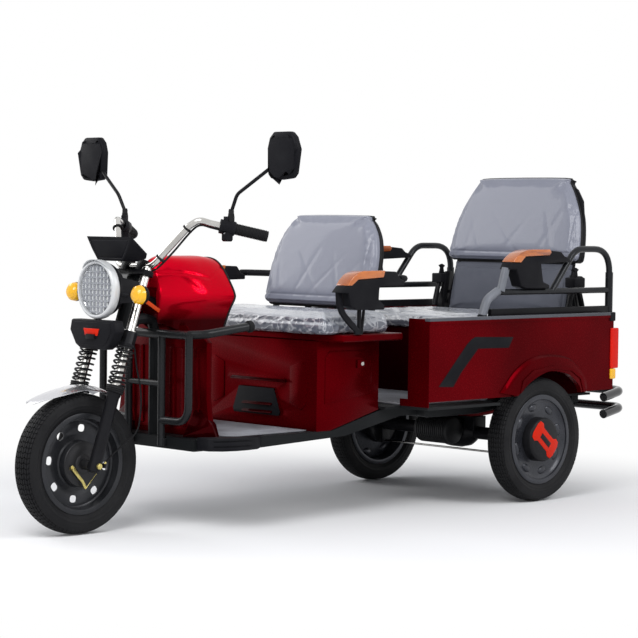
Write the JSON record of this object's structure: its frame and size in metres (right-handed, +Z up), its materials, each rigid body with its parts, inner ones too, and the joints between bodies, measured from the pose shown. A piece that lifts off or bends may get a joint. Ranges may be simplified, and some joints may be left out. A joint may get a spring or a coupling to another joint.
{
  "type": "electric cargo tricycle",
  "caption": "Three-wheeled electric carrier: sprung raked fork, hooded lamp, driver's seat on a battery box, rear bench body with side rails.",
  "frame": {"origin": "on the ground under the middle of the vehicle's box", "axes": "+X the vehicle's left, +Y towards its rear, +Z up"},
  "size_m": [1.124, 2.5899, 1.315],
  "materials": {
    "red_paint": "deep metallic red lacquer",
    "black_paint": "black enamel",
    "frame_paint": "dark grey enamel",
    "steel": "dark metallic tube",
    "spring_steel": "black spring steel",
    "chrome": "polished",
    "alloy": "satin",
    "silver_plastic": "silver lacquer",
    "black_plastic": "moulded",
    "tyre": "black tread rubber",
    "rubber": "moulded",
    "seat_cover": "grey seat cover under clear film",
    "lens": "clear ribbed lens",
    "amber": "amber lens",
    "tail_red": "red lens",
    "battery_case": "moulded case"
  },
  "bodies": {
    "chassis": {"main_frame": "frame_paint", "front_guard": "black_paint", "leg_shield": "red_paint", "tank_cowl": "red_paint", "seat_box": "red_paint", "battery_pack": "battery_case", "bench_box": "red_paint", "bench_cushion": "seat_cover", "rear_bumper": "steel", "side_step_left": "black_plastic", "side_step_right": "black_plastic", "cargo_side_left": "red_paint", "cargo_side_right": "red_paint", "handrail_left": "steel", "handrail_right": "steel", "rear_armrest_left": "black_plastic", "rear_armrest_right": "black_plastic", "backrest_hinge_left": "black_paint", "backrest_hinge_right": "black_paint", "tail_light_left": "tail_red", "tail_light_right": "tail_red", "leaf_spring_left": "red_paint", "leaf_spring_right": "red_paint"},
    "front_seat": {"seat_lid": "red_paint", "front_cushion": "seat_cover", "front_backrest": "seat_cover", "front_backrest_frame": "black_plastic", "front_armrest_left": "black_plastic", "front_armrest_right": "black_plastic"},
    "rear_back": {"rear_backrest": "seat_cover", "rear_backrest_board": "black_plastic"},
    "tailgate": {"tailgate": "red_paint"},
    "brake_pedal": {"brake_pedal": "black_paint"},
    "steering": {"fork_upper": "alloy", "handlebar": "chrome", "left_grip": "rubber", "headlight_bucket": "black_plastic", "headlight_bezel": "silver_plastic", "headlight_lens": "lens", "dash_hood": "black_plastic", "beak_cover": "black_plastic", "switch_housing_left": "black_plastic", "switch_housing_right": "black_plastic", "turn_signal_left": "amber", "turn_signal_right": "amber"},
    "throttle": {"throttle_grip": "rubber"},
    "mirror_left": {"mirror_left": "black_plastic"},
    "mirror_right": {"mirror_right": "black_plastic"},
    "fork_lower": {"fork_legs": "alloy", "front_fender": "silver_plastic", "front_brake_cable": "rubber", "fork_spring_left": "spring_steel", "fork_spring_right": "spring_steel"},
    "front_wheel": {"front_tyre": "tyre", "front_rim": "alloy"},
    "rear_axle": {"axle_housing": "black_paint"},
    "rear_wheel_left": {"rear_tyre_left": "tyre", "rear_rim_left": "alloy"},
    "rear_wheel_right": {"rear_tyre_right": "tyre", "rear_rim_right": "alloy"}
  },
  "joints": [
    {"name": "steering_turn", "type": "hinge", "parent": "chassis", "child": "steering", "pos_m": [0, -0.82715, 0.83056], "axis": [0, 0.3173, 0.9483], "range_deg": [-35, 35]},
    {"name": "fork_travel", "type": "slide", "parent": "steering", "child": "fork_lower", "axis": [0, 0.3173, 0.9483], "range_m": [-0.01, 0.045], "stiffness_N_per_m": 25000, "springref_m": -0.039, "deforming": ["fork_spring_left", "fork_spring_right", "front_brake_cable"]},
    {"name": "front_wheel_spin", "type": "hinge", "parent": "fork_lower", "child": "front_wheel", "pos_m": [0, -1.065, 0.23], "axis": [1, 0, 0], "continuous": true},
    {"name": "rear_axle_travel", "type": "slide", "parent": "chassis", "child": "rear_axle", "axis": [0, 0, 1], "range_m": [-0.015, 0.025], "stiffness_N_per_m": 60000, "springref_m": -0.047, "deforming": ["leaf_spring_left", "leaf_spring_right"]},
    {"name": "rear_wheel_left_spin", "type": "hinge", "parent": "rear_axle", "child": "rear_wheel_left", "pos_m": [0.412, 0.757, 0.23], "axis": [1, 0, 0], "continuous": true},
    {"name": "rear_wheel_right_spin", "type": "hinge", "parent": "rear_axle", "child": "rear_wheel_right", "pos_m": [-0.412, 0.757, 0.23], "axis": [1, 0, 0], "continuous": true},
    {"name": "throttle_twist", "type": "hinge", "parent": "steering", "child": "throttle", "pos_m": [-0.27717, -0.64304, 1.00237], "axis": [-0.592, 0.7859, -0.1786], "range_deg": [0, 65], "stiffness_Nm_per_rad": 0.35, "springref_deg": -17.19},
    {"name": "mirror_left_swivel", "type": "hinge", "parent": "steering", "child": "mirror_left", "pos_m": [0.2616, -0.6637, 1.03937], "axis": [0, 0, 1], "range_deg": [-35, 35]},
    {"name": "mirror_right_swivel", "type": "hinge", "parent": "steering", "child": "mirror_right", "pos_m": [-0.2616, -0.6637, 1.03937], "axis": [0, 0, 1], "range_deg": [-35, 35]},
    {"name": "front_seat_lift", "type": "hinge", "parent": "chassis", "child": "front_seat", "pos_m": [0, -0.265, 0.6175], "axis": [1, 0, 0], "range_deg": [0, 38]},
    {"name": "rear_back_fold", "type": "hinge", "parent": "chassis", "child": "rear_back", "pos_m": [0, 1.092, 0.75], "axis": [1, 0, 0], "range_deg": [0, 98]},
    {"name": "tailgate_drop", "type": "hinge", "parent": "chassis", "child": "tailgate", "pos_m": [0, 1.175, 0.4065], "axis": [1, 0, 0], "range_deg": [-90, 0]},
    {"name": "brake_pedal_press", "type": "hinge", "parent": "chassis", "child": "brake_pedal", "pos_m": [-0.09, -0.665, 0.335], "axis": [1, 0, 0], "range_deg": [-20, 0], "stiffness_Nm_per_rad": 8, "springref_deg": 14.32}
  ]
}
